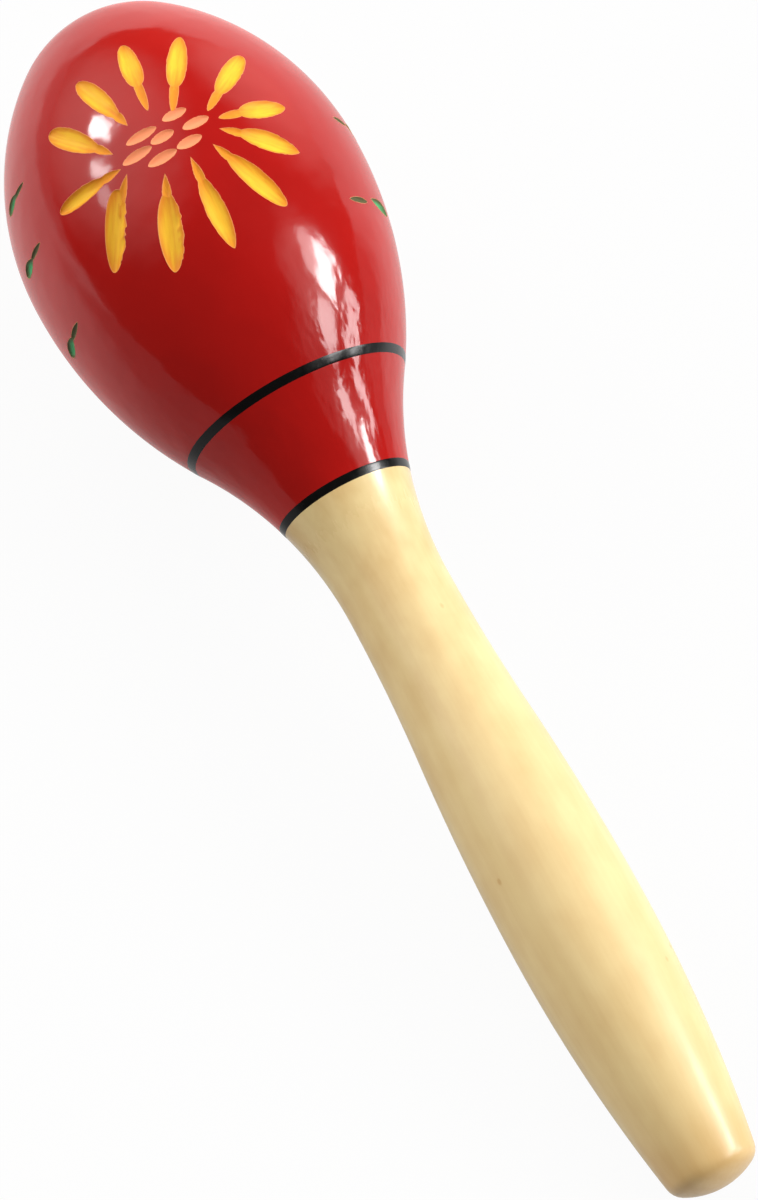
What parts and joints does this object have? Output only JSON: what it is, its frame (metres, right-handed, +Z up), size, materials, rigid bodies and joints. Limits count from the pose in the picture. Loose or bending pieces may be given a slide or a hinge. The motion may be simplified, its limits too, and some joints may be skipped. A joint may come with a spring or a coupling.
{
  "type": "wooden maraca",
  "caption": "Wooden maraca lying on its side: hollow lacquered egg head with a carved flower, ringed collar, bare turned handle and loose steel pellets that rattle inside.",
  "frame": {"origin": "on the table, under the middle of the maraca's box as it lies on its side", "axes": "+Z up from the table, +X along the table from the head to the end of the handle, +Y to the side"},
  "size_m": [0.2086, 0.0572, 0.0577],
  "materials": {
    "red_lacquered_wood": "gloss",
    "varnished_wood": "satin",
    "black_enamel": "gloss",
    "yellow_enamel": "satin",
    "orange_enamel": "satin",
    "green_enamel": "satin",
    "steel_shot": "polished"
  },
  "bodies": {
    "maraca": {"head_shell": "red_lacquered_wood", "neck_collar": "red_lacquered_wood", "handle": "varnished_wood", "ring_upper": "black_enamel", "ring_lower": "black_enamel", "flower_petals": "yellow_enamel", "flower_stamens": "orange_enamel", "leaf_strokes": "green_enamel"},
    "pellet_01": {"pellet_01": "steel_shot"},
    "pellet_02": {"pellet_02": "steel_shot"},
    "pellet_03": {"pellet_03": "steel_shot"},
    "pellet_04": {"pellet_04": "steel_shot"},
    "pellet_05": {"pellet_05": "steel_shot"},
    "pellet_06": {"pellet_06": "steel_shot"},
    "pellet_07": {"pellet_07": "steel_shot"},
    "pellet_08": {"pellet_08": "steel_shot"},
    "pellet_09": {"pellet_09": "steel_shot"},
    "pellet_10": {"pellet_10": "steel_shot"},
    "pellet_11": {"pellet_11": "steel_shot"},
    "pellet_12": {"pellet_12": "steel_shot"},
    "pellet_13": {"pellet_13": "steel_shot"},
    "pellet_14": {"pellet_14": "steel_shot"},
    "pellet_15": {"pellet_15": "steel_shot"},
    "pellet_16": {"pellet_16": "steel_shot"},
    "pellet_17": {"pellet_17": "steel_shot"},
    "pellet_18": {"pellet_18": "steel_shot"},
    "pellet_19": {"pellet_19": "steel_shot"}
  },
  "joints": [
    {"name": "pellet_01_slide", "type": "slide", "parent": "maraca", "child": "pellet_01", "axis": [0.1277, 0, 0.9918], "range_m": [0, 0.0403]},
    {"name": "pellet_02_slide", "type": "slide", "parent": "maraca", "child": "pellet_02", "axis": [0.1277, 0, 0.9918], "range_m": [0, 0.0381]},
    {"name": "pellet_03_slide", "type": "slide", "parent": "maraca", "child": "pellet_03", "axis": [0.1277, 0, 0.9918], "range_m": [0, 0.0381]},
    {"name": "pellet_04_slide", "type": "slide", "parent": "maraca", "child": "pellet_04", "axis": [0.1277, 0, 0.9918], "range_m": [0, 0.0381]},
    {"name": "pellet_05_slide", "type": "slide", "parent": "maraca", "child": "pellet_05", "axis": [0.1277, 0, 0.9918], "range_m": [0, 0.0398]},
    {"name": "pellet_06_slide", "type": "slide", "parent": "maraca", "child": "pellet_06", "axis": [0.1277, 0, 0.9918], "range_m": [0, 0.0414]},
    {"name": "pellet_07_slide", "type": "slide", "parent": "maraca", "child": "pellet_07", "axis": [0.1277, 0, 0.9918], "range_m": [0, 0.0398]},
    {"name": "pellet_08_slide", "type": "slide", "parent": "maraca", "child": "pellet_08", "axis": [0.1277, 0, 0.9918], "range_m": [0, 0.0328]},
    {"name": "pellet_09_slide", "type": "slide", "parent": "maraca", "child": "pellet_09", "axis": [0.1277, 0, 0.9918], "range_m": [0, 0.0353]},
    {"name": "pellet_10_slide", "type": "slide", "parent": "maraca", "child": "pellet_10", "axis": [0.1277, 0, 0.9918], "range_m": [0, 0.0366]},
    {"name": "pellet_11_slide", "type": "slide", "parent": "maraca", "child": "pellet_11", "axis": [0.1277, 0, 0.9918], "range_m": [0, 0.0404]},
    {"name": "pellet_12_slide", "type": "slide", "parent": "maraca", "child": "pellet_12", "axis": [0.1277, 0, 0.9918], "range_m": [0, 0.0414]},
    {"name": "pellet_13_slide", "type": "slide", "parent": "maraca", "child": "pellet_13", "axis": [0.1277, 0, 0.9918], "range_m": [0, 0.0404]},
    {"name": "pellet_14_slide", "type": "slide", "parent": "maraca", "child": "pellet_14", "axis": [0.1277, 0, 0.9918], "range_m": [0, 0.0366]},
    {"name": "pellet_15_slide", "type": "slide", "parent": "maraca", "child": "pellet_15", "axis": [0.1277, 0, 0.9918], "range_m": [0, 0.0353]},
    {"name": "pellet_16_slide", "type": "slide", "parent": "maraca", "child": "pellet_16", "axis": [0.1277, 0, 0.9918], "range_m": [0, 0.0328]},
    {"name": "pellet_17_slide", "type": "slide", "parent": "maraca", "child": "pellet_17", "axis": [0.1277, 0, 0.9918], "range_m": [0, 0.0353]},
    {"name": "pellet_18_slide", "type": "slide", "parent": "maraca", "child": "pellet_18", "axis": [0.1277, 0, 0.9918], "range_m": [0, 0.0348]},
    {"name": "pellet_19_slide", "type": "slide", "parent": "maraca", "child": "pellet_19", "axis": [0.1277, 0, 0.9918], "range_m": [0, 0.0353]}
  ]
}
